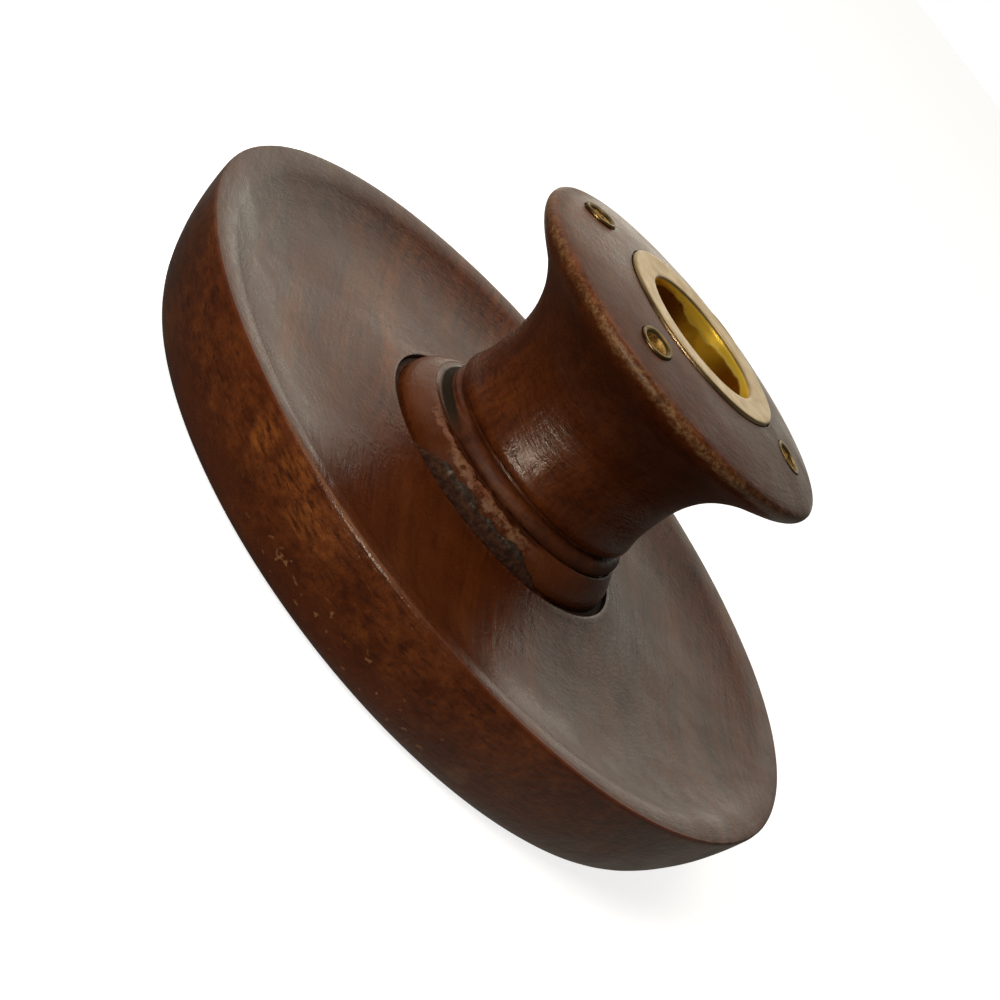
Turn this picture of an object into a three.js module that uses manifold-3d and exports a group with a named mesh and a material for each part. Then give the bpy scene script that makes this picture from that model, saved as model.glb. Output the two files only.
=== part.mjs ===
// A turned wooden holder for one taper candle and up to four incense sticks.
// Millimetres, +Z up. The origin is the centre of the felt's lower face, on the axis of the turning.
import * as THREE from 'three';
import { mergeVertices } from 'three/addons/utils/BufferGeometryUtils.js';
import Module from 'manifold-3d';

const wasm = await Module();
wasm.setup();

// ---- driving dimensions ----

const HEIGHT = 54; // rest plane to the top of the brass flange
const GAP = 0.3; // clearance between pieces that meet

// candle cup: a one inch brass socket for a 22 mm (7/8 in) taper
const CUP_BORE_R = 11;
const CUP_WALL = 1;
const CUP_LENGTH = 25.4;
const CUP_FLOOR = 0.8;
const FLANGE_R = 16;
const FLANGE_THICKNESS = 0.8;
const FLANGE_PROUD = 0.5; // above the wood that surrounds it
const CUP_EDGE = 0.25;

// stem: collar, waist and spreading head, turned from one piece
const HEAD_R = 30.5;
const HEAD_EDGE_Z = 49.9; // height of the head's widest line
const WAIST_R = 18.2;
const STEM_FOOT_R = 18.9;
const COLLAR_FOOT = [23.35, 15]; // radius, height
const COLLAR_CURVE = [[23.4, 17], [22.5, 18.1], [20.7, 19.6]]; // two control points, then its end
const COLLAR_INNER = [20.2, 19.9];
const NOTCH = [19.8, 19.7]; // the narrow line between the collar and the bead
const BEAD_BULGE = [20.3, 21.6]; // the bead rounds over towards this point
const BEAD_TOP_R = 18.6;
const GROOVE_R = 17.8;
const GROOVE_Z = [22.3, 22.8];
const STEM_FOOT_ROUND = 1.4;
// Each curve below runs on from the point before it: two control points, then its end.
const STEM_TO_WAIST = [[STEM_FOOT_R, 26.5], [WAIST_R, 28], [WAIST_R, 32]];
const WAIST_TO_HEAD = [[WAIST_R, 37.6], [20.6, 41.4], [24.6, 44.6]];
const UNDER_HEAD = [[26.6, 46.2], [HEAD_R, 47.9], [HEAD_R, HEAD_EDGE_Z]];

// incense eyelets: flanged brass tubes set square to the crown, bored by hand and so unevenly spaced
const EYELET_BORE_R = 1.8;
const EYELET_TUBE_R = 2.2;
const EYELET_FLANGE_R = 2.9;
const EYELET_FLANGE_THICKNESS = 0.5;
const EYELET_LENGTH = 6.5;
const EYELETS = [
  { side: 'front', angle: -98, radius: 22.9, sunk: 0.1 },
  { side: 'right', angle: 1, radius: 21.8, sunk: 0.3 },
  { side: 'back', angle: 88, radius: 22.6, sunk: 0.45 },
  { side: 'left', angle: -178, radius: 23.4, sunk: 0 },
];

// base: a shallow dish with a rounded rim and a wall that narrows towards the foot
const BASE_R = 64.3;
const RIM_Z = 17.7;
const DISH_LOW_Z = 12.6;
const RECESS_R = 24.5; // the step that the collar drops into
const RECESS_EDGE_Z = 15.6;
const RECESS_DEPTH = 2;

// the base's outline outside the felt, each curve again two control points and its end
const UNDERSIDE_Z = 0.35; // the wooden ring around the felt stays clear of the table
const UNDERSIDE_R = 56.8;
const FOOT_CURVE = [[58.2, UNDERSIDE_Z], [58.9, 1.4], [59.7, 2.5]];
const WALL_CURVE = [[61.4, 5.2], [63.6, 10], [BASE_R, 16.3]];
const RIM_OUTER_CURVE = [[BASE_R, 17.3], [64.1, RIM_Z], [63.1, RIM_Z]];
const RIM_INNER_CURVE = [[61.9, RIM_Z], [61, 17.55], [60, 17]];
const DISH_OUTER_CURVE = [[56.2, 14.9], [50, DISH_LOW_Z], [43, DISH_LOW_Z]];
const DISH_INNER_CURVE = [[36, DISH_LOW_Z], [29.5, 13.9], [RECESS_R, RECESS_EDGE_Z]];

// felt and screw, both under the base
const FELT_R = 54;
const FELT_THICKNESS = 1;
const SCREW_LENGTH = 22.2;
const SCREW_SHANK_R = 2.1;
const SCREW_HEAD_R = 4.1;
const SCREW_HEAD_Z = 2; // the head is sunk below the felt
const SCREW_HEAD_RIM = 0.3;
const SCREW_TIP = 3;
const SCREW_SLOT = { width: 1, depth: 1.1 };

// facets around each turning
const WOOD_SIDES = 60;
const BRASS_SIDES = 40;
const SMALL_SIDES = 16;
const CURVE_STEPS = 4;

// ---- derived radii and heights ----

const RECESS_FLOOR_Z = RECESS_EDGE_Z - RECESS_DEPTH;
const COLLAR_BOTTOM_Z = RECESS_FLOOR_Z + GAP;
const FLANGE_UNDERSIDE_Z = HEIGHT - FLANGE_THICKNESS;
const FLANGE_SEAT_Z = FLANGE_UNDERSIDE_Z - GAP;
const CROWN_INNER_R = FLANGE_R + GAP;
const CROWN_INNER_Z = HEIGHT - FLANGE_PROUD;
const CROWN_EDGE = [[HEAD_R, 50.7], [29.9, 51.05], [28.9, 51.35]];
const CROWN_FACE = [[26, 52.2], [21.5, 53.05], [CROWN_INNER_R, CROWN_INNER_Z]];
const CUP_R = CUP_BORE_R + CUP_WALL;
const CUP_BOTTOM_Z = HEIGHT - CUP_LENGTH;
const SOCKET_FLOOR_Z = CUP_BOTTOM_Z - GAP;
const SCREW_HOLE_R = SCREW_SHANK_R + GAP;
const SCREW_TIP_Z = SCREW_HEAD_Z + SCREW_LENGTH;

// ---- helpers ----

// Joins equal vertices and drops the facets that have no area, which a turning has on its axis.
function closedBody(geometry) {
  geometry.deleteAttribute('normal');
  geometry.deleteAttribute('uv');
  const merged = mergeVertices(geometry, 1e-4);
  const corners = merged.getIndex().array;
  const kept = [];
  for (let i = 0; i < corners.length; i += 3) {
    const [a, b, c] = corners.slice(i, i + 3);
    if (a !== b && b !== c && c !== a) {
      kept.push(a, b, c);
    }
  }
  merged.setIndex(kept);
  return merged;
}

// A body turned about Z from a path of [radius, height], which runs up the outside and down the inside.
function turned(path, sides) {
  const outline = path.getPoints(CURVE_STEPS);
  const first = outline[0];
  if (first.x > 0) {
    outline.push(first.clone());
  }
  return closedBody(new THREE.LatheGeometry(outline, sides).rotateX(Math.PI / 2));
}

function outlineThrough(points) {
  const path = new THREE.Path();
  path.moveTo(...points[0]);
  for (const point of points.slice(1)) {
    path.lineTo(...point);
  }
  return path;
}

function solid(geometry) {
  const vertProperties = new Float32Array(geometry.getAttribute('position').array);
  const triVerts = new Uint32Array(geometry.getIndex().array);
  return new wasm.Manifold(new wasm.Mesh({ numProp: 3, vertProperties, triVerts }));
}

function geometryOf(manifold) {
  const mesh = manifold.getMesh();
  const geometry = new THREE.BufferGeometry();
  geometry.setAttribute('position', new THREE.BufferAttribute(mesh.vertProperties, 3));
  geometry.setIndex(new THREE.BufferAttribute(mesh.triVerts, 1));
  return geometry;
}

function piece(name, geometry, material) {
  geometry.computeVertexNormals();
  const mesh = new THREE.Mesh(geometry, new THREE.MeshStandardMaterial(material));
  mesh.name = name;
  return mesh;
}

// ---- materials ----

const HARDWOOD = { color: 0x5a3220, roughness: 0.45, metalness: 0 };
const CUP_BRASS = { color: 0xcdb27a, roughness: 0.3, metalness: 1 };
const EYELET_BRASS = { color: 0xa8925a, roughness: 0.35, metalness: 1 };
const GREY_FILLER = { color: 0x6b6258, roughness: 0.9, metalness: 0 };
const BROWN_FELT = { color: 0x2f241c, roughness: 1, metalness: 0 };
const SCREW_STEEL = { color: 0x8c8f92, roughness: 0.4, metalness: 1 };

// ---- the crown, which the eyelets follow ----

// The height and outward slope, in radians, of the crown's facets at a radius.
function crownAt(radius) {
  const corners = [CROWN_EDGE.at(-1), ...CROWN_FACE].map((corner) => new THREE.Vector2(...corner));
  const points = new THREE.CubicBezierCurve(...corners).getPoints(CURVE_STEPS);
  const outer = points.findLast((point) => point.x >= radius);
  const inner = points[points.indexOf(outer) + 1];
  const slope = (inner.y - outer.y) / (outer.x - inner.x);
  return { height: outer.y + (outer.x - radius) * slope, tilt: Math.atan(slope) };
}

// Turns and moves something made about the origin, +Z out of the wood, to an eyelet's place.
function eyeletPlace({ angle, radius, sunk }) {
  const { height, tilt } = crownAt(radius);
  const around = THREE.MathUtils.degToRad(angle);
  const place = new THREE.Matrix4().makeRotationZ(around);
  place.multiply(new THREE.Matrix4().makeTranslation(radius, 0, height));
  place.multiply(new THREE.Matrix4().makeRotationY(tilt));
  place.multiply(new THREE.Matrix4().makeTranslation(0, 0, -sunk));
  return place;
}

// ---- pieces ----

function makeBase() {
  const path = new THREE.Path();
  const ceiling = FELT_THICKNESS + GAP;
  const sinkR = SCREW_HEAD_R + GAP * Math.SQRT2;
  const sinkZ = SCREW_HEAD_Z + SCREW_HEAD_RIM;
  path.moveTo(SCREW_HOLE_R, sinkZ + sinkR - SCREW_HOLE_R);
  path.lineTo(sinkR, sinkZ);
  path.lineTo(sinkR, ceiling);
  path.lineTo(FELT_R + GAP, ceiling);
  path.lineTo(FELT_R + GAP, UNDERSIDE_Z);
  path.lineTo(UNDERSIDE_R, UNDERSIDE_Z);
  const curves = [
    FOOT_CURVE,
    WALL_CURVE,
    RIM_OUTER_CURVE,
    RIM_INNER_CURVE,
    DISH_OUTER_CURVE,
    DISH_INNER_CURVE,
  ];
  for (const curve of curves) {
    path.bezierCurveTo(...curve.flat());
  }
  path.lineTo(RECESS_R, RECESS_FLOOR_Z);
  path.lineTo(SCREW_HOLE_R, RECESS_FLOOR_Z);
  return piece('base', turned(path, WOOD_SIDES), HARDWOOD);
}

function makeStem() {
  const path = new THREE.Path();
  path.moveTo(0, SCREW_TIP_Z + GAP);
  path.lineTo(SCREW_HOLE_R, SCREW_TIP_Z - SCREW_TIP);
  path.lineTo(SCREW_HOLE_R, COLLAR_BOTTOM_Z);
  // the collar's upright foot and its rounded shoulder
  path.lineTo(COLLAR_FOOT[0], COLLAR_BOTTOM_Z);
  path.lineTo(...COLLAR_FOOT);
  path.bezierCurveTo(...COLLAR_CURVE.flat());
  path.lineTo(...COLLAR_INNER);
  // bead and groove
  const [grooveBottomZ, grooveTopZ] = GROOVE_Z;
  path.lineTo(...NOTCH);
  path.quadraticCurveTo(...BEAD_BULGE, BEAD_TOP_R, grooveBottomZ);
  path.lineTo(GROOVE_R, grooveBottomZ);
  path.lineTo(GROOVE_R, grooveTopZ);
  // rounded foot, waist and the cove that spreads into the head
  path.quadraticCurveTo(STEM_FOOT_R, grooveTopZ, STEM_FOOT_R, grooveTopZ + STEM_FOOT_ROUND);
  for (const curve of [STEM_TO_WAIST, WAIST_TO_HEAD, UNDER_HEAD, CROWN_EDGE, CROWN_FACE]) {
    path.bezierCurveTo(...curve.flat());
  }
  // recess for the flange and socket for the cup
  path.lineTo(CROWN_INNER_R, FLANGE_SEAT_Z);
  path.lineTo(CUP_R + GAP, FLANGE_SEAT_Z);
  path.lineTo(CUP_R + GAP, SOCKET_FLOOR_Z);
  path.lineTo(0, SOCKET_FLOOR_Z);

  const seatR = EYELET_FLANGE_R + GAP;
  const tubeHoleR = EYELET_TUBE_R + GAP;
  const holeBottom = -EYELET_LENGTH - 2 * GAP;
  const clearOfCrown = 3;
  const holeOutline = [
    [0, holeBottom],
    [tubeHoleR, holeBottom],
    [tubeHoleR, -GAP],
    [seatR, -GAP],
    [seatR, clearOfCrown],
    [0, clearOfCrown],
  ];
  let body = solid(turned(path, WOOD_SIDES));
  for (const eyelet of EYELETS) {
    const hole = turned(outlineThrough(holeOutline), SMALL_SIDES);
    body = body.subtract(solid(hole.applyMatrix4(eyeletPlace(eyelet))));
  }
  return piece('stem', geometryOf(body), HARDWOOD);
}

function makeCandleCup() {
  const outline = [
    [0, CUP_BOTTOM_Z],
    [CUP_R - CUP_EDGE, CUP_BOTTOM_Z],
    [CUP_R, CUP_BOTTOM_Z + CUP_EDGE],
    [CUP_R, FLANGE_UNDERSIDE_Z],
    [FLANGE_R, FLANGE_UNDERSIDE_Z],
    [FLANGE_R, HEIGHT - CUP_EDGE],
    [FLANGE_R - CUP_EDGE, HEIGHT],
    [CUP_BORE_R + CUP_EDGE, HEIGHT],
    [CUP_BORE_R, HEIGHT - CUP_EDGE],
    [CUP_BORE_R, CUP_BOTTOM_Z + CUP_FLOOR],
    [0, CUP_BOTTOM_Z + CUP_FLOOR],
  ];
  return piece('candle_cup', turned(outlineThrough(outline), BRASS_SIDES), CUP_BRASS);
}

function makeEyelet(eyelet) {
  const path = new THREE.Path();
  path.moveTo(EYELET_BORE_R, -EYELET_LENGTH);
  path.lineTo(EYELET_TUBE_R, -EYELET_LENGTH);
  path.lineTo(EYELET_TUBE_R, 0);
  path.lineTo(EYELET_FLANGE_R, 0);
  path.lineTo(EYELET_FLANGE_R, EYELET_FLANGE_THICKNESS / 2);
  path.lineTo(EYELET_FLANGE_R - 0.3, EYELET_FLANGE_THICKNESS);
  path.lineTo(EYELET_BORE_R + 0.4, EYELET_FLANGE_THICKNESS);
  path.lineTo(EYELET_BORE_R, EYELET_FLANGE_THICKNESS / 2);
  const eyeletPiece = piece(`incense_eyelet_${eyelet.side}`, turned(path, SMALL_SIDES), EYELET_BRASS);
  eyeletPiece.applyMatrix4(eyeletPlace(eyelet));
  return eyeletPiece;
}

// The bead of filler that was pressed into the joint around the collar.
function makeJointFiller() {
  const innerR = COLLAR_FOOT[0] + GAP;
  const outerR = RECESS_R - GAP;
  const outline = [
    [innerR, COLLAR_BOTTOM_Z],
    [outerR, COLLAR_BOTTOM_Z],
    [outerR, RECESS_EDGE_Z - GAP],
    [innerR, RECESS_EDGE_Z],
  ];
  return piece('joint_filler', turned(outlineThrough(outline), WOOD_SIDES), GREY_FILLER);
}

function makeFeltPad() {
  const outline = [
    [0, 0],
    [FELT_R, 0],
    [FELT_R, FELT_THICKNESS],
    [0, FELT_THICKNESS],
  ];
  return piece('felt_pad', turned(outlineThrough(outline), WOOD_SIDES), BROWN_FELT);
}

function makeBaseScrew() {
  const coneZ = SCREW_HEAD_Z + SCREW_HEAD_RIM;
  const outline = [
    [0, SCREW_HEAD_Z],
    [SCREW_HEAD_R, SCREW_HEAD_Z],
    [SCREW_HEAD_R, coneZ],
    [SCREW_SHANK_R, coneZ + SCREW_HEAD_R - SCREW_SHANK_R],
    [SCREW_SHANK_R, SCREW_TIP_Z - SCREW_TIP],
    [0, SCREW_TIP_Z],
  ];
  const slot = new THREE.BoxGeometry(2 * SCREW_HEAD_R + 1, SCREW_SLOT.width, 2 * SCREW_SLOT.depth);
  slot.translate(0, 0, SCREW_HEAD_Z);
  const body = solid(turned(outlineThrough(outline), SMALL_SIDES)).subtract(solid(closedBody(slot)));
  return piece('base_screw', geometryOf(body), SCREW_STEEL);
}

const holder = new THREE.Group();
holder.add(makeBase(), makeStem(), makeCandleCup(), makeJointFiller(), makeFeltPad(), makeBaseScrew());
for (const eyelet of EYELETS) {
  holder.add(makeEyelet(eyelet));
}

export default holder;
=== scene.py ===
"""The look of a turned wooden holder for one taper candle and four incense sticks.

The frame is in metres: the origin is the centre of the felt's lower face, on the axis of the
turning, and +Z is up. Outlines are in millimetres, as (radius, height), and run up the outside.
Azimuths are in degrees about +Z from +X, and the near side is at -90.
"""

import math

import bpy
from mathutils import Matrix, Vector, noise


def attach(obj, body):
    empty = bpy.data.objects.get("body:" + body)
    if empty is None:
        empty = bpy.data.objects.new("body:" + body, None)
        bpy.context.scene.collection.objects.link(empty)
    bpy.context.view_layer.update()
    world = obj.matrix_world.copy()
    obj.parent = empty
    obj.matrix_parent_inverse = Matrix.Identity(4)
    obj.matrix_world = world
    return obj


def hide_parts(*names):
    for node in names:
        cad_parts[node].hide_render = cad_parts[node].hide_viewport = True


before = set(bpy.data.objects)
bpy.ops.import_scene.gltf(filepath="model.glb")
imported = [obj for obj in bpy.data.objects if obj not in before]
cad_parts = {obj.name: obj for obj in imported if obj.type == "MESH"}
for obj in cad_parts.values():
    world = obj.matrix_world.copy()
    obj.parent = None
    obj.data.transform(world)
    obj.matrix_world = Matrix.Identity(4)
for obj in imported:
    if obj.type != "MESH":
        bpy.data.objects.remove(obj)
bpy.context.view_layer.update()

MM = 0.001

# ---- shapes ----


def bezier(start, curve, t):
    """The point at t on the cubic curve from start through two control points to its end."""
    s = 1 - t
    weights = (s**3, 3 * s * s * t, 3 * s * t * t, t**3)
    return tuple(
        sum(w * p[axis] for w, p in zip(weights, (start, *curve))) for axis in (0, 1)
    )


def outline(start, *parts, spacing):
    """Points about `spacing` mm apart. A part is a point to run straight to, or the two control
    points and end of a curve."""
    path = [start]
    for part in parts:
        begin = path[-1]
        if isinstance(part[0], (int, float)):
            count = max(1, math.ceil(math.dist(begin, part) / spacing))
            for i in range(1, count + 1):
                path.append(tuple(a + (b - a) * i / count for a, b in zip(begin, part)))
        else:
            hull = [begin, *part]
            length = sum(math.dist(a, b) for a, b in zip(hull, hull[1:]))
            count = max(3, math.ceil(length / spacing))
            path += [bezier(begin, part, i / count) for i in range(1, count + 1)]
    return path


def outward(path, i, closed):
    """The unit normal of the outline at a point: to the right of the way it runs."""
    before = path[i - 1] if i or closed else path[i]
    after = path[(i + 1) % len(path)] if i + 1 < len(path) or closed else path[i]
    along = Vector((after[0] - before[0], after[1] - before[1])).normalized()
    return Vector((along.y, -along.x))


def turned(name, path, sides, relief=None, shift=None):
    """A closed mesh turned about Z. An outline from axis to axis is capped there, and any other is
    joined end to start. relief(point) moves a point along the outline's normal, and
    shift(point) is a vector added to it, all in mm."""
    closed = path[0][0] > 0
    vertices = []
    rings = []
    for i, (radius, height) in enumerate(path):
        normal = outward(path, i, closed)
        ring = []
        for k in range(sides if radius > 0 else 1):
            angle = 2 * math.pi * k / sides
            away = Vector((math.cos(angle), math.sin(angle), 0))
            point = away * radius
            point.z = height
            if relief and radius > 0:
                point += (away * normal.x + Vector((0, 0, normal.y))) * relief(point)
            if shift:
                point += shift(point)
            ring.append(len(vertices))
            vertices.append(point * MM)
        rings.append(ring)
    faces = []
    following = rings[1:] + rings[:1] if closed else rings[1:]
    for low, high in zip(rings, following):
        for k in range(sides):
            j = (k + 1) % sides
            corners = ((low, k), (low, j), (high, j), (high, k))
            faces.append(list(dict.fromkeys(ring[i % len(ring)] for ring, i in corners)))
    mesh = bpy.data.meshes.new(name)
    mesh.from_pydata(vertices, [], faces)
    mesh.validate()
    mesh.update()
    piece = bpy.data.objects.new(name, mesh)
    bpy.context.scene.collection.objects.link(piece)
    smooth(piece)
    return piece


def smooth(piece, angle=38):
    mesh = piece.data
    mesh.polygons.foreach_set("use_smooth", [True] * len(mesh.polygons))
    mesh.set_sharp_from_angle(angle=math.radians(angle))


def finished(piece, node, material):
    """Puts a rebuilt piece in the place of its CAD node."""
    piece.data.materials.clear()
    piece.data.materials.append(material)
    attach(piece, "root")
    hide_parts(node)


def fade(value, low, high):
    """0 below low, 1 above high and smooth between; the other way round where low > high."""
    t = min(1.0, max(0.0, (value - low) / (high - low)))
    return t * t * (3 - 2 * t)


def azimuth(point):
    return math.degrees(math.atan2(point.y, point.x))


def far_left(point):
    """1 within 35 degrees of the left, where the bead was turned down, and 0 past 68."""
    return fade(180 - abs(azimuth(point)), 68, 35)


def near_left(point):
    """1 on the near left side, where the joint is rough, and 0 round the rest."""
    angle = azimuth(point)
    return fade(angle, -136, -112) * fade(angle, -48, -72)


# The joint sits a little to the left of the axis: the collar and its recess are both shifted.
JOINT_OFFSET = Vector((-0.7, 0, 0))
BEAD_CUT = 1.15


def stem_shift(point):
    return JOINT_OFFSET * fade(point.z, 21, 17.5)


def base_shift(point):
    return JOINT_OFFSET * fade(point.xy.length, 34, 26) * fade(point.z, 10, 13)


def base_relief(point):
    """The wood's slow swell, and the tool's faint ripple, on the faces that show."""
    radius = point.xy.length
    ripple = noise.noise(Vector((radius / 1.7, point.z / 1.7, abs(azimuth(point)) / 140)))
    swell = noise.noise(point / 19) * 0.07 + noise.noise(point / 6) * 0.018
    shown = fade(point.z, 0.4, 2.5) * fade(radius, 25, 28)
    return shown * (swell + 0.02 * ripple)


def stem_relief(point):
    """The swell of the waist and head, the torn ridge on the collar, and the bead where it was
    turned down."""
    swell = noise.noise(point / 9) * 0.05 + noise.noise(point / 3) * 0.015
    on_stem = fade(point.z, 22, 25) * fade(point.xy.length, 13, 15)
    collar = fade(point.z, 20.2, 19.6) * fade(point.z, 14.5, 16)
    torn = collar * near_left(point)
    uneven = 0.3 * noise.noise(Vector((azimuth(point) / 6, 0, 3)))
    radius = point.xy.length + uneven
    ridge = fade(radius, 20.6, 21.0) * fade(radius, 22.2, 21.7)
    rough = noise.fractal(point / 1.1, 0.8, 2.0, 4)
    bead = fade(point.z, 19.5, 20.0) * fade(point.z, 22.4, 22.1) * fade(point.xy.length, 18.3, 18.8)
    return (
        on_stem * swell
        + collar * 0.03 * noise.noise(point / 2)
        + torn * (0.2 * rough + 0.35 * (ridge - 0.55))
        + bead * 0.05 * noise.noise(point / 1.6)
        - bead * far_left(point) * BEAD_CUT
    )


FILLER_R = (23.45, 24.4)
# The filler's top across the smeared part of the joint, from the groove up over the collar: how
# far across, radius and height.
SMEAR = (
    (0.0, 24.3, 14.6),
    (0.15, 23.8, 15.2),
    (0.3, 23.65, 16.4),
    (0.45, 23.45, 17.0),
    (0.75, 23.0, 17.7),
    (1.0, 22.5, 18.05),
)


def smeared(across):
    """The radius and height of the filler's top at a share of the way across."""
    for (a, a_radius, a_height), (b, b_radius, b_height) in zip(SMEAR, SMEAR[1:]):
        if across <= b:
            t = (across - a) / (b - a)
            return a_radius + (b_radius - a_radius) * t, a_height + (b_height - a_height) * t
    return SMEAR[-1][1:]


def filler_shift(point):
    """Pulls the top of the ring up over the collar where the filler was smeared, and leaves it low
    in the groove round the rest."""
    radius = point.xy.length
    across = (FILLER_R[1] - radius) / (FILLER_R[1] - FILLER_R[0])
    top = fade(point.z, 14.1, 14.5)
    patchy = min(1.0, max(0.0, 0.95 + 0.9 * noise.noise(Vector((azimuth(point) / 9, 0, 7)))))
    along = fade(azimuth(point), -126, -104) * fade(azimuth(point), -40, -70)
    spread = along * patchy * top
    new_radius, new_height = smeared(min(1.0, max(0.0, across)))
    away = Vector((point.x, point.y, 0)) / radius
    moved = away * (spread * (new_radius - radius))
    moved.z = spread * (new_height - point.z)
    lumps = noise.fractal((point + moved) / 0.9, 0.7, 2.0, 4)
    lift = top * lumps * (0.03 + 0.12 * spread)
    return JOINT_OFFSET + moved + (away + Vector((0, 0, 1))) * lift


BASE_OUTLINE = outline(
    (2.4, 4.32),
    (4.52, 2.3),
    (4.52, 1.3),
    (54.3, 1.3),
    (54.3, 0.35),
    (56.8, 0.35),
    [(58.2, 0.35), (58.9, 1.4), (59.7, 2.5)],
    [(61.4, 5.2), (63.5, 10), (64.3, 17.0)],
    [(64.35, 17.5), (64.2, 17.7), (63.7, 17.7)],
    [(62.2, 17.7), (60.7, 17.45), (59.4, 16.85)],
    [(55.8, 14.9), (50, 12.6), (43, 12.6)],
    [(36, 12.6), (29.7, 13.8), (25.1, 15.4)],
    [(24.8, 15.5), (24.5, 15.5), (24.5, 15.1)],
    (24.5, 13.6),
    (2.4, 13.6),
    spacing=0.7,
)

STEM_OUTLINE = outline(
    (0, 24.5),
    (2.4, 21.2),
    (2.4, 13.9),
    (23.35, 13.9),
    (23.35, 15.0),
    [(23.4, 17.0), (22.5, 18.1), (20.7, 19.6)],
    [(20.5, 19.8), (20.4, 19.9), (20.2, 19.9)],
    (20.0, 19.5),
    (19.7, 19.5),
    [(20.15, 20.6), (20.1, 21.9), (18.9, 22.25)],
    (17.8, 22.3),
    (17.8, 22.8),
    [(18.6, 22.8), (18.9, 23.3), (18.9, 24.2)],
    [(18.85, 25.3), (18.2, 25.9), (18.2, 29.2)],
    (18.2, 31.5),
    [(18.2, 37.6), (20.6, 41.4), (24.6, 44.6)],
    [(26.6, 46.2), (30.5, 47.9), (30.5, 49.9)],
    [(30.5, 50.7), (29.9, 51.05), (28.9, 51.35)],
    [(26, 52.2), (21.5, 53.05), (16.3, 53.45)],
    [(16.2, 53.47), (16.15, 53.4), (16.15, 53.3)],
    (16.15, 53.0),
    (12.3, 53.0),
    (12.3, 28.3),
    (0, 28.3),
    spacing=0.44,
)

CUP_OUTLINE = outline(
    (0, 28.6),
    (11, 28.6),
    [(11.6, 28.6), (12, 29), (12, 29.6)],
    (12, 53.2),
    (15.8, 53.2),
    [(16, 53.2), (16, 53.3), (16, 53.5)],
    [(16, 53.85), (15.85, 54), (15.5, 54)],
    [(14, 53.97), (12.8, 53.93), (11.7, 53.9)],
    [(11.2, 53.88), (11, 53.6), (11, 53.2)],
    (11, 30.2),
    [(11, 29.7), (10.7, 29.4), (10.2, 29.4)],
    (0, 29.4),
    spacing=0.4,
)

EYELET_OUTLINE = outline(
    (1.8, -6.5),
    (2.2, -6.5),
    (2.2, 0),
    (2.72, 0),
    [(2.85, 0), (2.87, 0.06), (2.87, 0.16)],
    [(2.87, 0.4), (2.78, 0.5), (2.6, 0.5)],
    [(2.3, 0.46), (1.85, 0.2), (1.8, -0.5)],
    spacing=0.08,
)

FILLER_OUTLINE = outline(
    (FILLER_R[0], 13.9),
    (FILLER_R[1], 13.9),
    (FILLER_R[1], 14.7),
    (FILLER_R[0], 14.8),
    spacing=0.06,
)

FELT_OUTLINE = outline(
    (0, 0),
    (53.8, 0),
    [(54, 0), (54, 0.1), (54, 0.3)],
    (54, 0.7),
    [(54, 0.9), (53.9, 1), (53.7, 1)],
    (0, 1),
    spacing=0.8,
)

SCREW_FACE = 2
SCREW_OUTLINE = outline(
    (0, SCREW_FACE),
    (3.9, SCREW_FACE),
    [(4.05, SCREW_FACE), (4.1, 2.1), (4.1, 2.3)],
    (2.1, 4.3),
    (2.1, 21.2),
    (0, 24.2),
    spacing=0.15,
)

# The incense eyelets, set square to the crown by hand: azimuth, radius and how far each is sunk.
# A face of an eyelet inside its bore radius is part of the bore.
EYELETS = {
    "front": (-98, 22.9, 0.1),
    "right": (1, 21.8, 0.3),
    "back": (88, 22.6, 0.45),
    "left": (-178, 23.4, 0.0),
}
EYELET_BORE_R = 1.95
EYELET_SEAT_R = 2.98
EYELET_SEAT_DEPTH = 0.3
EYELET_HOLE_R = 2.5
EYELET_HOLE_DEPTH = 7.1
CUTTER_TOP = 2

# The screwdriver slot is a square bar, its corners 1 mm from its middle, stretched along and
# squeezed across.
SLOT_DEPTH = 1.1
SLOT_STRETCH = (7.0, 0.7, 1, 1)


def crown_at(radius):
    """The height and outward slope of the crown at a radius."""
    inner, outer = (
        next(i for i, p in enumerate(STEM_OUTLINE) if p[1] > 51 and p[0] <= r)
        for r in (radius - 2, radius + 2)
    )
    (inner_r, inner_z), (outer_r, outer_z) = STEM_OUTLINE[inner], STEM_OUTLINE[outer]
    slope = (inner_z - outer_z) / (outer_r - inner_r)
    return outer_z + (outer_r - radius) * slope, math.atan(slope)


def eyelet_place(side):
    angle, radius, sunk = EYELETS[side]
    height, tilt = crown_at(radius)
    place = Matrix.Rotation(math.radians(angle), 4, "Z")
    place @= Matrix.Translation(Vector((radius, 0, height)) * MM)
    return place @ Matrix.Rotation(tilt, 4, "Y") @ Matrix.Translation((0, 0, -sunk * MM))


def cut(piece, cutters):
    """Takes the cutters' shapes out of a piece and removes them."""
    for cutter in cutters:
        modifier = piece.modifiers.new("cut", "BOOLEAN")
        modifier.operation = "DIFFERENCE"
        modifier.solver = "EXACT"
        modifier.object = cutter
    bpy.context.view_layer.update()
    whole = piece.evaluated_get(bpy.context.evaluated_depsgraph_get())
    mesh = bpy.data.meshes.new_from_object(whole)
    piece.modifiers.clear()
    piece.data = mesh
    for cutter in cutters:
        bpy.data.objects.remove(cutter, do_unlink=True)
    smooth(piece)


# ---- node graphs ----


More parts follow.
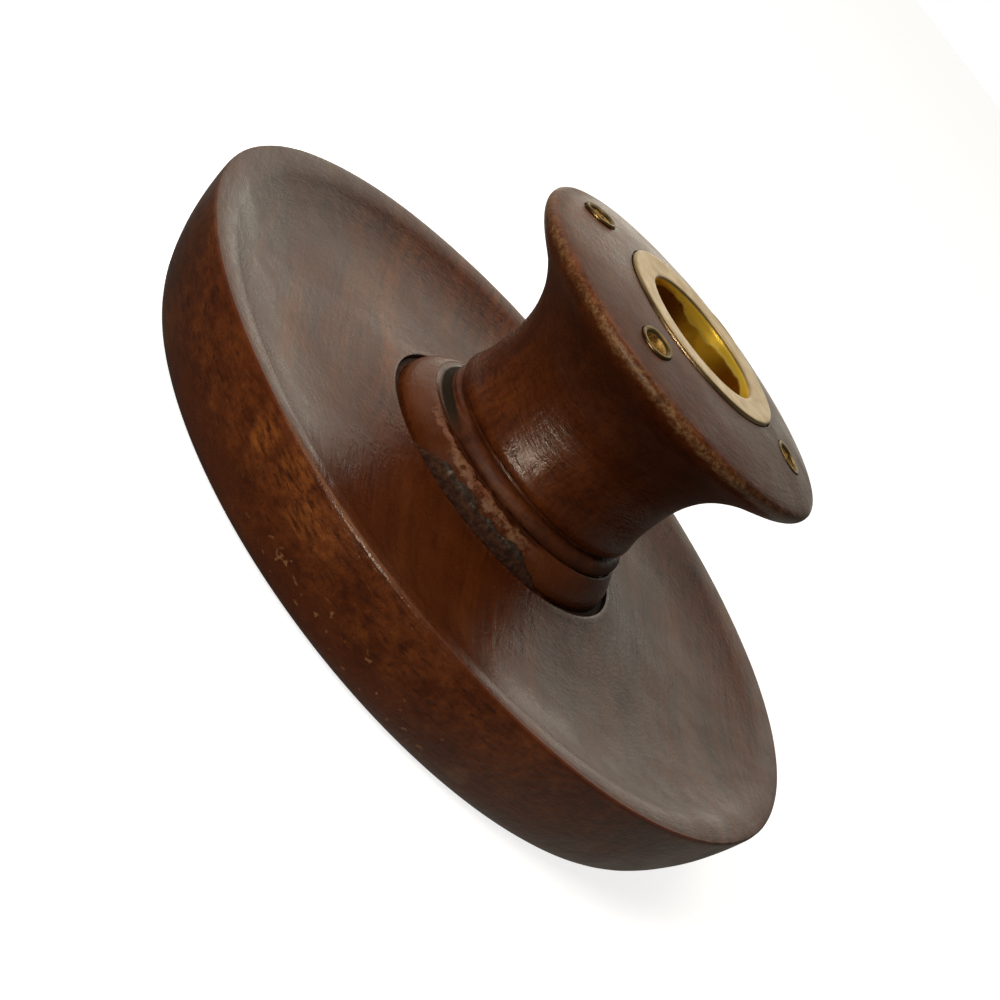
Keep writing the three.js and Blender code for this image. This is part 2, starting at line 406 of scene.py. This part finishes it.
class Graph:
    """A material with a Principled shader, and short ways to add the nodes that feed it."""

    def __init__(self, name):
        self.material = bpy.data.materials.new(name)
        self.material.use_nodes = True
        self.tree = self.material.node_tree
        self.tree.nodes.clear()
        self.shader = self.add("BsdfPrincipled")
        self.join(self.shader.outputs["BSDF"], self.add("OutputMaterial").inputs["Surface"])
        self.mm = self.scaled(self.add("TexCoord").outputs["Object"], (1000, 1000, 1000))
        parts = self.add("SeparateXYZ")
        self.join(self.mm, parts.inputs[0])
        self.x, self.y, self.height = parts.outputs
        squares = self.plus(self.times(self.x, self.x), self.times(self.y, self.y))
        self.radius = self.calc("SQRT", squares)
        self.angle = self.calc("ARCTAN2", self.y, self.x)

    def add(self, kind, **settings):
        node = self.tree.nodes.new("ShaderNode" + kind)
        for key, value in settings.items():
            setattr(node, key, value)
        return node

    def join(self, value, socket):
        if isinstance(value, bpy.types.NodeSocket):
            self.tree.links.new(value, socket)
        else:
            socket.default_value = value

    def set(self, **values):
        for key, value in values.items():
            self.join(value, self.shader.inputs[key.replace("_", " ")])

    def scaled(self, vector, scale, turn=0.0):
        """The vector turned about Z by some degrees, then scaled along each axis."""
        if turn:
            node = self.add("VectorRotate", rotation_type="Z_AXIS")
            self.join(vector, node.inputs["Vector"])
            node.inputs["Angle"].default_value = math.radians(-turn)
            vector = node.outputs[0]
        node = self.add("VectorMath", operation="MULTIPLY")
        self.join(vector, node.inputs[0])
        node.inputs[1].default_value = scale
        return node.outputs[0]

    def calc(self, operation, a, b=0.0, clamp=False):
        node = self.add("Math", operation=operation, use_clamp=clamp)
        self.join(a, node.inputs[0])
        self.join(b, node.inputs[1])
        return node.outputs[0]

    def plus(self, a, b, clamp=False):
        return self.calc("ADD", a, b, clamp)

    def times(self, a, b):
        return self.calc("MULTIPLY", a, b)

    def larger(self, a, b):
        return self.calc("MAXIMUM", a, b)

    def noise(self, vector, scale=1.0, detail=2.0, roughness=0.5, distortion=0.0, fourth=None):
        node = self.add("TexNoise")
        self.join(vector, node.inputs["Vector"])
        if fourth:
            node.noise_dimensions = "4D"
            self.join(fourth, node.inputs["W"])
        node.inputs["Scale"].default_value = scale
        node.inputs["Detail"].default_value = detail
        node.inputs["Roughness"].default_value = roughness
        node.inputs["Distortion"].default_value = distortion
        return node.outputs["Fac"]

    def between(self, value, low, high, start=0.0, end=1.0):
        """start below low, end above high, smooth between."""
        node = self.add("MapRange", interpolation_type="SMOOTHSTEP")
        for socket, number in zip(node.inputs, (value, low, high, start, end)):
            self.join(number, socket)
        return node.outputs[0]

    def weighted(self, *shares):
        """The sum of values, each times its weight."""
        total = 0.0
        for value, weight in shares:
            total = self.plus(total, self.times(value, weight))
        return total

    def band(self, value, low, high, soft):
        """1 from low to high and 0 outside, with each edge soft to either side."""
        rise = self.between(value, low - soft, low + soft)
        fall = self.between(value, high - soft, high + soft, 1.0, 0.0)
        return self.times(rise, fall)

    def ramp(self, value, *stops):
        node = self.add("ValToRGB")
        self.join(value, node.inputs[0])
        elements = node.color_ramp.elements
        while len(elements) < len(stops):
            elements.new(1.0)
        for element, (position, colour) in zip(elements, stops):
            element.position = position
            element.color = (*colour, 1.0)
        return node.outputs[0]

    def mix(self, factor, a, b):
        node = self.add("Mix", data_type="RGBA")
        self.join(factor, node.inputs[0])
        for value, socket in ((a, node.inputs[6]), (b, node.inputs[7])):
            self.join((*value, 1.0) if isinstance(value, tuple) else value, socket)
        return node.outputs[2]

    def bump(self, height, distance, normal=None):
        """distance is the depth, in mm, between heights 0 and 1."""
        node = self.add("Bump")
        node.inputs["Distance"].default_value = distance * MM
        self.join(height, node.inputs["Height"])
        if normal:
            self.join(normal, node.inputs["Normal"])
        return node.outputs[0]


# ---- wood ----

WOOD_DARK = (0.026, 0.0060, 0.0016)
WOOD_RED = (0.075, 0.0165, 0.0036)
WOOD_BROWN = (0.135, 0.0345, 0.0072)
WOOD_ORANGE = (0.250, 0.0800, 0.0150)
WOOD_TAN = (0.340, 0.170, 0.0800)
BARE_WOOD = (0.230, 0.080, 0.0520)
DUSTY_WOOD = (0.220, 0.115, 0.0600)
WORN_EDGE = (0.250, 0.145, 0.0580)
# near-black painted shade for the groove on the left
GROOVE_PAINTED_SHADE = (0.009, 0.006, 0.0020)


class Wood(Graph):
    """Dark polished hardwood. The grain runs along X turned by grain_turn degrees, stretch is how
    fast the figure changes along each axis of the turned grain, and turned_at is the radius in
    mm at which the tool marks have their true length."""

    def __init__(self, name, grain_turn, stretch, roughness, turned_at):
        super().__init__(name)
        grain = self.scaled(self.mm, stretch, grain_turn)
        bands = self.noise(grain, 0.17, 3.0, 0.55)
        streaks = self.noise(grain, 0.75, 3.0, 0.6)
        fibres = self.noise(grain, 2.8, 2.0, 0.6)
        mottle = self.noise(self.mm, 0.13, 4.0, 0.6)
        speckle = self.noise(self.mm, 0.55, 4.0, 0.7)
        tone = self.weighted((bands, 0.34), (streaks, 0.26), (mottle, 0.18), (speckle, 0.22))
        colour = self.ramp(
            tone, (0.34, WOOD_DARK), (0.45, WOOD_RED), (0.56, WOOD_BROWN), (0.70, WOOD_ORANGE)
        )
        # short marks that the tool left round the turning, a little askew
        around_turning = self.add("CombineXYZ")
        for axis, away in enumerate((self.x, self.y)):
            around = self.calc("DIVIDE", away, self.radius)
            self.join(self.times(around, 0.45 * turned_at), around_turning.inputs[axis])
        wander = self.calc("SINE", self.times(self.angle, 3.0))
        askew = self.plus(self.height, self.times(wander, 0.04 * turned_at))
        self.join(self.times(askew, 1.6), around_turning.inputs[2])
        across = self.times(self.radius, 1.6)
        marks = self.noise(around_turning.outputs[0], 1.0, 3.0, 0.65, 0.4, across)
        self.marks = marks
        colour = self.mix(self.between(marks, 0.32, 0.50, 0.65, 0.0), colour, WOOD_DARK)
        colour = self.mix(self.between(fibres, 0.34, 0.44, 0.45, 0.0), colour, WOOD_DARK)
        self.colour = colour
        self.mottle = mottle
        self.streaks = streaks
        self.bands = bands
        fine = self.bump(marks, 0.10, self.bump(fibres, 0.012, self.bump(speckle, 0.05)))
        self.normal = self.bump(streaks, 0.09, fine)
        self.rough = self.between(mottle, 0.35, 0.65, roughness - 0.04, roughness + 0.06)

    def tint(self, mask, colour, strength):
        """Lays a colour over the wood where the mask is 1."""
        self.colour = self.mix(self.times(mask, strength), self.colour, colour)

    def spot(self, azimuth_deg, radius, height, size):
        """1 at a place on the surface, fading to 0 a size away, in mm, with a ragged edge."""
        angle = math.radians(azimuth_deg)
        away = self.add("VectorMath", operation="DISTANCE")
        self.join(self.mm, away.inputs[0])
        away.inputs[1].default_value = (radius * math.cos(angle), radius * math.sin(angle), height)
        uneven = self.calc("SUBTRACT", self.noise(self.mm, 0.5, 3.0, 0.6), 0.5)
        distance = self.plus(away.outputs["Value"], self.times(uneven, size))
        return self.between(distance, size * 0.35, size, 1.0, 0.0)

    def near_left(self):
        """1 on the near left side, where the joint is rough, and 0 round the rest."""
        return self.band(self.angle, -2.35, -1.1, 0.2)

    def done(self):
        self.set(Base_Color=self.colour, Normal=self.normal, Roughness=self.rough)
        return self.material


def base_finish():
    w = Wood("base_wood_finish", 113, (0.07, 1.0, 1.0), 0.27, 62.0)

    # the dish and rim are tinted apart from the wall: redder, with orange bands and dark streaks
    upper = w.larger(w.between(w.height, 16.6, 17.4), w.between(w.radius, 62.5, 60.5))
    w.tint(upper, WOOD_RED, 0.45)
    w.tint(w.times(upper, w.between(w.bands, 0.52, 0.66)), WOOD_ORANGE, 0.15)
    w.tint(w.times(upper, w.between(w.streaks, 0.36, 0.46, 1.0, 0.0)), WOOD_DARK, 0.5)

    # three dark specks in the dish, and a painted highlight: a pale patch low on the near-right
    # wall
    for place in ((3, 53.4, 14.2, 1.3), (-18, 59, 16.5, 1.0), (-167, 47, 12.9, 1.1)):
        w.tint(w.spot(*place), WOOD_DARK, 0.85)
    # painted highlight: a pale patch low on the wall
    w.tint(w.spot(-65, 60.8, 4.4, 2.6), WOOD_TAN, 0.3)

    # painted shade: darker to the left, and a little darker towards the near side
    painted_side_shade = w.larger(w.between(w.x, -38.0, -58.0), w.between(w.y, 10.0, -30.0, 0.0, 0.3))
    w.tint(painted_side_shade, WOOD_DARK, 0.5)

    # orange patches high on the near wall, red mottling low on it and faint dark blotches
    for place in ((-112, 64.0, 13.6, 3.6), (-106, 64.2, 14.8, 4.2), (-101, 64.0, 12.5, 4.0)):
        w.tint(w.times(w.spot(*place), w.between(w.marks, 0.40, 0.62)), WOOD_ORANGE, 0.6)
    w.tint(w.times(w.between(w.height, 11.0, 3.0), w.between(w.mottle, 0.3, 0.6)), WOOD_RED, 0.45)
    blotches = w.between(w.noise(w.mm, 0.22, 4.0, 0.65), 0.46, 0.60)
    w.tint(w.times(blotches, w.between(w.height, 17.0, 16.0)), WOOD_DARK, 0.22)

    # the rim's edge on the near side, a pale line that is both wear through the polish and a
    # painted highlight, and the dish behind it, painted redder and darker as the stem's dark
    # reflection
    rim_wear_and_highlight = w.times(w.band(w.height, 17.4, 17.8, 0.08), w.between(w.radius, 63.6, 64.0))
    # a pale line along the rim's edge: wear and a painted highlight
    w.tint(w.times(rim_wear_and_highlight, w.band(w.angle, -1.95, -1.5, 0.15)), WOOD_TAN, 0.45)
    w.tint(w.times(rim_wear_and_highlight, w.band(w.angle, -1.3, -0.5, 0.15)), BARE_WOOD, 0.4)
    # painted reflection: the near-left dish redder and darker where it shows the stem's dark
    # reflection
    w.tint(w.times(upper, w.near_left()), WOOD_RED, 0.5)

    # scuffs low on the near wall, where the noise rises above a threshold
    scuffs = w.between(w.noise(w.mm, 0.8, 2.0, 0.5), 0.64, 0.70)
    scuffed = w.times(w.band(w.height, 2.5, 8.0, 1.0), w.band(w.angle, -1.85, -1.2, 0.15))
    w.tint(w.times(scuffs, scuffed), WOOD_TAN, 0.5)

    # the recess's chipped lip, and darker mottling round it on the near left
    chips = w.between(w.noise(w.mm, 1.6, 3.0, 0.6), 0.54, 0.62)
    lip = w.times(w.band(w.radius, 24.3, 25.2, 0.3), w.near_left())
    w.tint(w.times(lip, chips), BARE_WOOD, 0.6)
    darker_round_lip = w.times(w.band(w.radius, 24.0, 28.0, 2.0), w.near_left())
    w.tint(w.times(darker_round_lip, w.between(w.mottle, 0.35, 0.6)), WOOD_DARK, 0.45)

    # duller to the right
    w.rough = w.plus(w.rough, w.between(w.x, 20.0, 50.0, 0.0, 0.07))
    return w.done()


def stem_finish():
    w = Wood("stem_wood_finish", 0, (1.0, 1.0, 0.22), 0.26, 19.0)

    # painted shade under the head and on the right side, and the stem below the crown darker too
    w.tint(w.band(w.height, 32.0, 48.0, 5.0), WOOD_DARK, 0.42)
    w.tint(w.between(w.height, 51.0, 50.0), WOOD_DARK, 0.46)
    # painted shade on the right side
    w.tint(w.between(w.calc("DIVIDE", w.x, w.radius), 0.05, 0.85), WOOD_DARK, 0.3)

    # three small dark chips in the crown, beside the flange
    for place in ((24, 18.1, 53.2, 1.5), (10, 17.6, 53.3, 0.9), (-14, 19.0, 53.1, 0.8)):
        w.tint(w.spot(*place), WOOD_DARK, 0.85)

    # the head's edge, worn to dusty tan in grains
    shaken = w.between(w.noise(w.mm, 0.8, 3.0, 0.6), 0.3, 0.7, -0.5, 0.5)
    edge = w.band(w.plus(w.height, shaken), 49.3, 50.5, 0.8)
    edge = w.times(edge, w.between(w.radius, 28.6, 29.8))
    edge = w.times(edge, w.between(w.noise(w.mm, 1.5, 4.0, 0.75), 0.42, 0.60, 0.15, 1.0))
    edge = w.times(edge, w.between(w.mottle, 0.3, 0.6, 0.4, 1.0))
    w.tint(edge, WORN_EDGE, 0.62)

    # the crown, redder, and towards its edge, on the right and on the near side duller in polish
    # and painted darker as shade
    crown = w.between(w.height, 50.6, 51.4)
    w.tint(crown, WOOD_RED, 0.4)
    dull_and_painted_shade = w.larger(w.band(w.angle, -1.2, 0.9, 0.7), w.between(w.radius, 26.5, 30.0))
    dull_and_painted_shade = w.times(crown, w.larger(dull_and_painted_shade, w.between(w.y, -12.0, -24.0)))
    # painted shade over the duller parts of the crown
    w.tint(dull_and_painted_shade, WOOD_DARK, 0.45)

    # painted shade, near black, in the groove on the left, where the bead was turned down
    turned_down = w.between(w.calc("DIVIDE", w.x, w.radius), -0.37, -0.77)
    notch = w.times(w.band(w.height, 19.6, 21.0, 0.15), turned_down)
    w.tint(notch, GROOVE_PAINTED_SHADE, 0.95)

    # the collar, darker on the near left, with a pale torn ridge and a dark uneven line above it
    # there
    collar = w.times(w.band(w.height, 15.5, 19.9, 0.2), w.between(w.radius, 19.9, 20.3))
    w.tint(collar, WOOD_BROWN, 0.5)
    w.tint(w.times(collar, w.near_left()), WOOD_DARK, 0.5)
    uneven = w.between(w.noise(w.mm, 0.45, 3.0, 0.6), 0.3, 0.7, -0.45, 0.45)
    torn_radius = w.plus(w.radius, uneven)
    dark_uneven_line = w.times(w.band(torn_radius, 19.9, 20.8, 0.2), w.near_left())
    w.tint(w.times(dark_uneven_line, w.band(w.height, 19.0, 20.1, 0.2)), WOOD_DARK, 0.85)
    ridge = w.times(w.band(torn_radius, 20.95, 21.85, 0.2), collar)
    ridge = w.times(ridge, w.near_left())
    ridge = w.times(ridge, w.between(w.noise(w.mm, 1.4, 5.0, 0.75), 0.34, 0.60))
    pale = w.mix(w.between(w.noise(w.mm, 0.16, 2.0), 0.42, 0.58), BARE_WOOD, DUSTY_WOOD)
    w.tint(ridge, pale, 0.7)

    # where the polish is duller
    under_head = w.band(w.height, 37.0, 47.0, 2.0)
    bead_groove = w.times(w.band(w.height, 19.7, 22.3, 0.1), w.between(w.radius, 20.3, 20.1))
    for mask, extra in (
        (ridge, 0.4),
        (edge, 0.4),
        (dull_and_painted_shade, 0.16),
        (notch, 0.3),
        (under_head, 0.25),
        (bead_groove, 0.3),
    ):
        w.rough = w.plus(w.rough, w.times(mask, extra), clamp=True)
    return w.done()


# ---- metal, filler and felt ----

# the cup's lacquer with painted light: painted shade deep in the bore, painted light deep on its
# far wall, stained, a painted sheen above the line and a painted glint on it
PAINTED_BORE_SHADE = (0.22, 0.064, 0.002)
PAINTED_BORE_LIGHT = (0.90, 0.50, 0.030)
LACQUER_CLOUD = (0.26, 0.11, 0.004)
PAINTED_BORE_SHEEN = (1.0, 0.66, 0.06)
PAINTED_BORE_GLINT = (1.0, 0.84, 0.20)


def bore_lacquer_and_painted_light(g, cloud):
    """Where the cup's bore is, and its colour: yellow lacquer with painted light, shaded deep down
    except on the far wall, with a painted sheen above a wavy line a little below the mouth and a
    painted glint along it."""
    bore = g.times(g.between(g.height, 53.7, 53.3), g.between(g.radius, 11.4, 11.15))
    waves = g.noise(g.scaled(g.mm, (0.14, 0.14, 0.05)), 1.0, 2.0, 0.4)
    line = g.plus(g.height, g.between(waves, 0.3, 0.7, -1.1, 1.1))
    # painted light on the far wall, painted shade round the rest
    deep_lit_and_shaded = g.mix(g.band(g.angle, 1.25, 1.85, 0.35), PAINTED_BORE_SHADE, PAINTED_BORE_LIGHT)
    deep_lit_and_shaded = g.mix(g.between(cloud, 0.4, 0.6, 0.35, 0.0), deep_lit_and_shaded, LACQUER_CLOUD)
    # painted sheen above the wavy line, and a painted glint line along it
    inside = g.mix(g.between(line, 51.3, 52.1), deep_lit_and_shaded, PAINTED_BORE_SHEEN)
    return bore, g.mix(g.times(g.band(line, 51.7, 51.95, 0.2), 0.8), inside, PAINTED_BORE_GLINT)


def brass(name, roughness, base, tarnish, lacquer_and_painted_bore=False):
    g = Graph(name)
    cloud = g.noise(g.mm, 0.35, 4.0, 0.6)
    turning = g.noise(g.scaled(g.mm, (0.3, 0.3, 4.0)), 2.0, 2.0)
    colour = g.mix(g.between(cloud, 0.4, 0.75), base, tarnish)
    metallic = 1.0
    if lacquer_and_painted_bore:
        bore, inside = bore_lacquer_and_painted_light(g, cloud)
        colour = g.mix(bore, colour, inside)
        metallic = g.between(bore, 0.0, 1.0, 1.0, 0.62)
    g.set(
        Base_Color=colour,
        Metallic=metallic,
        Roughness=g.between(cloud, 0.3, 0.7, roughness - 0.05, roughness + 0.08),
        Normal=g.bump(turning, 0.004, g.bump(cloud, 0.02)),
    )
    return g.material


cup_brass = brass("cup_brass_finish", 0.32, (0.60, 0.44, 0.24), (0.54, 0.39, 0.21), True)
eyelet_brass = brass("eyelet_brass_finish", 0.34, (0.36, 0.26, 0.12), (0.15, 0.10, 0.045))

g = Graph("eyelet_bore_finish")
soot = g.noise(g.mm, 1.2, 3.0, 0.6)
g.set(
    Base_Color=g.ramp(soot, (0.35, (0.10, 0.05, 0.015)), (0.65, (0.80, 0.48, 0.13))),
    Metallic=0.35,
    Roughness=0.45,
    Normal=g.bump(soot, 0.05),
)
eyelet_bore = g.material

# grey filler, and dark brown where it lies low in the groove: the groove's wood colour with painted
# shade
g = Graph("filler_finish")
lumps = g.noise(g.mm, 1.3, 4.0, 0.65)
g.set(
    Base_Color=g.mix(
        g.between(g.height, 16.8, 17.4),
        g.ramp(lumps, (0.40, (0.018, 0.006, 0.003)), (0.65, (0.065, 0.026, 0.013))),
        g.ramp(
            lumps,
            (0.36, (0.014, 0.008, 0.005)),
            (0.50, (0.028, 0.018, 0.012)),
            (0.62, (0.055, 0.040, 0.030)),
            (0.72, (0.190, 0.150, 0.120)),
        ),
    ),
    Roughness=0.85,
    Normal=g.bump(lumps, 0.2),
)
filler = g.material

g = Graph("felt_finish")
fuzz = g.noise(g.mm, 3.2, 5.0, 0.7)
g.set(
    Base_Color=g.ramp(fuzz, (0.3, (0.012, 0.008, 0.006)), (0.7, (0.05, 0.034, 0.025))),
    Roughness=0.97,
    Normal=g.bump(fuzz, 0.25),
)
g.shader.inputs["Sheen Weight"].default_value = 0.4
felt = g.material

g = Graph("screw_finish")
scratches = g.noise(g.scaled(g.mm, (1.0, 1.0, 6.0)), 2.0, 3.0)
g.set(
    Base_Color=g.ramp(scratches, (0.3, (0.42, 0.43, 0.44)), (0.7, (0.62, 0.63, 0.65))),
    Metallic=1.0,
    Roughness=g.between(scratches, 0.3, 0.7, 0.28, 0.45),
    Normal=g.bump(scratches, 0.02),
)
steel = g.material

# ---- pieces ----

base = turned("base_turning", BASE_OUTLINE, 400, base_relief, base_shift)
finished(base, "base", base_finish())

stem = turned("stem_turning", STEM_OUTLINE, 260, stem_relief, stem_shift)
holes = []
for side in EYELETS:
    hole = turned(
        "hole_" + side,
        outline(
            (0, -EYELET_HOLE_DEPTH),
            (EYELET_HOLE_R, -EYELET_HOLE_DEPTH),
            (EYELET_HOLE_R, -EYELET_SEAT_DEPTH),
            (EYELET_SEAT_R, -EYELET_SEAT_DEPTH),
            (EYELET_SEAT_R, CUTTER_TOP),
            (0, CUTTER_TOP),
            spacing=9,
        ),
        sides=48,
    )
    hole.matrix_world = eyelet_place(side)
    holes.append(hole)
cut(stem, holes)
finished(stem, "stem", stem_finish())

cup = turned("candle_cup_spun", CUP_OUTLINE, 128)
finished(cup, "candle_cup", cup_brass)

for side in EYELETS:
    eyelet = turned("eyelet_" + side, EYELET_OUTLINE, 64)
    radii = [vertex.co.xy.length for vertex in eyelet.data.vertices]
    inner = [
        all(radii[i] < EYELET_BORE_R * MM for i in face.vertices)
        for face in eyelet.data.polygons
    ]
    eyelet.data.transform(eyelet_place(side))
    finished(eyelet, "incense_eyelet_" + side, eyelet_brass)
    eyelet.data.materials.append(eyelet_bore)
    eyelet.data.polygons.foreach_set("material_index", [int(inside) for inside in inner])

ring = turned("filler_ring", FILLER_OUTLINE, 480, shift=filler_shift)
finished(ring, "joint_filler", filler)

pad = turned("felt_disc", FELT_OUTLINE, 128)
finished(pad, "felt_pad", felt)

screw = turned("wood_screw", SCREW_OUTLINE, 48)
bar = [(0, -SLOT_DEPTH), (1, -SLOT_DEPTH), (1, SLOT_DEPTH), (0, SLOT_DEPTH)]
slot = turned("slot", bar, sides=4)
slot.matrix_world = (
    Matrix.Translation((0, 0, SCREW_FACE * MM))
    @ Matrix.Diagonal(SLOT_STRETCH)
    @ Matrix.Rotation(math.pi / 4, 4, "Z")
)
cut(screw, [slot])
finished(screw, "base_screw", steel)

# ---- floor, light and camera ----


def stage_piece(name, vertices, faces, glow, grey):
    """Part of the studio: matt paint with a little light of its own, which lights and shades
    nothing else."""
    g = Graph(name + "_paint")
    g.set(Base_Color=(grey, grey, grey, 1.0), Roughness=0.9)
    g.shader.inputs["Emission Color"].default_value = (1.0, 1.0, 1.0, 1.0)
    g.shader.inputs["Emission Strength"].default_value = glow
    mesh = bpy.data.meshes.new(name)
    mesh.from_pydata(vertices, [], faces)
    mesh.materials.append(g.material)
    piece = bpy.data.objects.new(name, mesh)
    bpy.context.scene.collection.objects.link(piece)
    piece.visible_glossy = False
    piece.visible_diffuse = False
    piece.visible_shadow = False
    return piece


FLOOR_Z = -0.0001
STUDIO_R = 5.0  # inside the clipping distance of every view
STUDIO_TOP_R = 0.1
STUDIO_SIDES = 48


def studio_ring(radius, height):
    turns = (2 * math.pi * k / STUDIO_SIDES for k in range(STUDIO_SIDES))
    return [(radius * math.cos(t), radius * math.sin(t), height) for t in turns]


floor_ring = studio_ring(STUDIO_R, FLOOR_Z)
stage_piece("floor", floor_ring, [tuple(range(STUDIO_SIDES))], glow=0.8, grey=0.9)

# a white wall and ceiling all round that only the camera sees
wall_ring = studio_ring(STUDIO_R, STUDIO_R)
top_ring = studio_ring(STUDIO_TOP_R, 1.5 * STUDIO_R)
panels = []
for low, high in ((0, STUDIO_SIDES), (STUDIO_SIDES, 2 * STUDIO_SIDES)):
    for k in range(STUDIO_SIDES):
        j = (k + 1) % STUDIO_SIDES
        panels.append((low + k, low + j, high + j, high + k))
backdrop = stage_piece("backdrop", floor_ring + wall_ring + top_ring, panels, glow=1.0, grey=0.0)
backdrop.visible_transmission = False

# The room: dim walls and soft windows. They are a wide one low behind the holder, a narrow one
# behind it at table height, one high behind it, one behind it to the left, and a little light off
# the table to the right. Each is an azimuth and elevation, the angles at which it is full and
# gone, and its brightness.
ROOM_LIGHT = 0.055
ROOM_TINT = (1.0, 0.945, 0.80)
WINDOWS = (
    ((104, 14), 16, 46, 0.42),
    ((94, -4), 8, 22, 0.80),
    ((90, 42), 12, 32, 0.40),
    ((154, 24), 14, 40, 0.25),
    ((25, -38), 24, 55, 0.16),
)


def direction(azimuth_deg, elevation_deg):
    around, above = math.radians(azimuth_deg), math.radians(elevation_deg)
    level = math.cos(above)
    return Vector((level * math.cos(around), level * math.sin(around), math.sin(above)))


world = bpy.data.worlds.new("studio")
world.use_nodes = True
sky = world.node_tree
background = sky.nodes["Background"]
background.inputs["Color"].default_value = (*ROOM_TINT, 1.0)
outlook = sky.nodes.new("ShaderNodeTexCoord").outputs["Generated"]
total = None
for where, full, gone, strength in WINDOWS:
    facing = sky.nodes.new("ShaderNodeVectorMath")
    facing.operation = "DOT_PRODUCT"
    facing.inputs[1].default_value = direction(*where)
    sky.links.new(outlook, facing.inputs[0])
    falloff = sky.nodes.new("ShaderNodeMapRange")
    falloff.interpolation_type = "SMOOTHSTEP"
    edges = (math.cos(math.radians(gone)), math.cos(math.radians(full)), 0.0, strength)
    for socket, value in zip(falloff.inputs[1:], edges):
        socket.default_value = value
    sky.links.new(facing.outputs["Value"], falloff.inputs[0])
    adding = sky.nodes.new("ShaderNodeMath")
    sky.links.new(falloff.outputs[0], adding.inputs[0])
    if total:
        sky.links.new(total, adding.inputs[1])
    else:
        adding.inputs[1].default_value = ROOM_LIGHT
    total = adding.outputs[0]
sky.links.new(total, background.inputs["Strength"])
bpy.context.scene.world = world

AIM = Vector((0, 0, 0.03))


def softbox(name, azimuth_deg, elevation_deg, distance, width, height, radiance, tint, glossy=True):
    """A round or oval light that faces the holder from a direction, given its brightness."""
    place = AIM + direction(azimuth_deg, elevation_deg) * distance
    light = bpy.data.lights.new(name, "AREA")
    light.shape = "ELLIPSE"
    light.size, light.size_y = width, height
    light.color = tint
    light.energy = radiance * math.pi * width * height * math.pi / 4
    lamp = bpy.data.objects.new(name, light)
    bpy.context.scene.collection.objects.link(lamp)
    lamp.visible_camera = False
    lamp.visible_glossy = glossy
    facing = (AIM - place).normalized().to_track_quat("-Z", "Y")
    lamp.matrix_world = Matrix.Translation(place) @ facing.to_matrix().to_4x4()


WARM = (1.0, 0.93, 0.84)
softbox("key_softbox", -121, 30, 0.38, 0.19, 0.19, 9.2, WARM, glossy=False)
softbox("fill_softbox", 170, 40, 0.30, 0.16, 0.16, 5.5, WARM, glossy=False)
softbox("glint_softbox", -99, -1, 1.2, 0.46, 0.20, 17.0, (1.0, 0.84, 0.62))
softbox("spark_softbox", -104.5, 6.5, 1.2, 0.035, 0.035, 500.0, (1.0, 0.92, 0.80))
softbox("top_softbox", 130, 78, 2.0, 1.2, 1.2, 1.6, (1.0, 0.88, 0.74))

scene = bpy.context.scene
scene.view_settings.view_transform = "Standard"

# The camera stands a little above the near side, rolled so that the holder leans to the right.
CAMERA_AT = Vector((0.0, -0.291815, 0.112461))
LENS_MM = 72.09
PITCH, YAW, ROLL = (math.radians(a) for a in (18.792, 0.187, 52.697))
ahead = Vector((math.sin(YAW) * math.cos(PITCH), math.cos(YAW) * math.cos(PITCH), -math.sin(PITCH)))
level = Vector((math.cos(YAW), -math.sin(YAW), 0))
upright = level.cross(ahead)
right = level * math.cos(ROLL) + upright * math.sin(ROLL)
up = upright * math.cos(ROLL) - level * math.sin(ROLL)
camera_data = bpy.data.cameras.new("camera")
camera_data.lens = LENS_MM
camera_data.sensor_width = 36
camera_data.clip_start = 0.01
camera_data.clip_end = 200
camera = bpy.data.objects.new("camera", camera_data)
scene.collection.objects.link(camera)
turn = Matrix((right, up, -ahead)).transposed().to_4x4()
camera.matrix_world = Matrix.Translation(CAMERA_AT) @ turn
scene.camera = camera
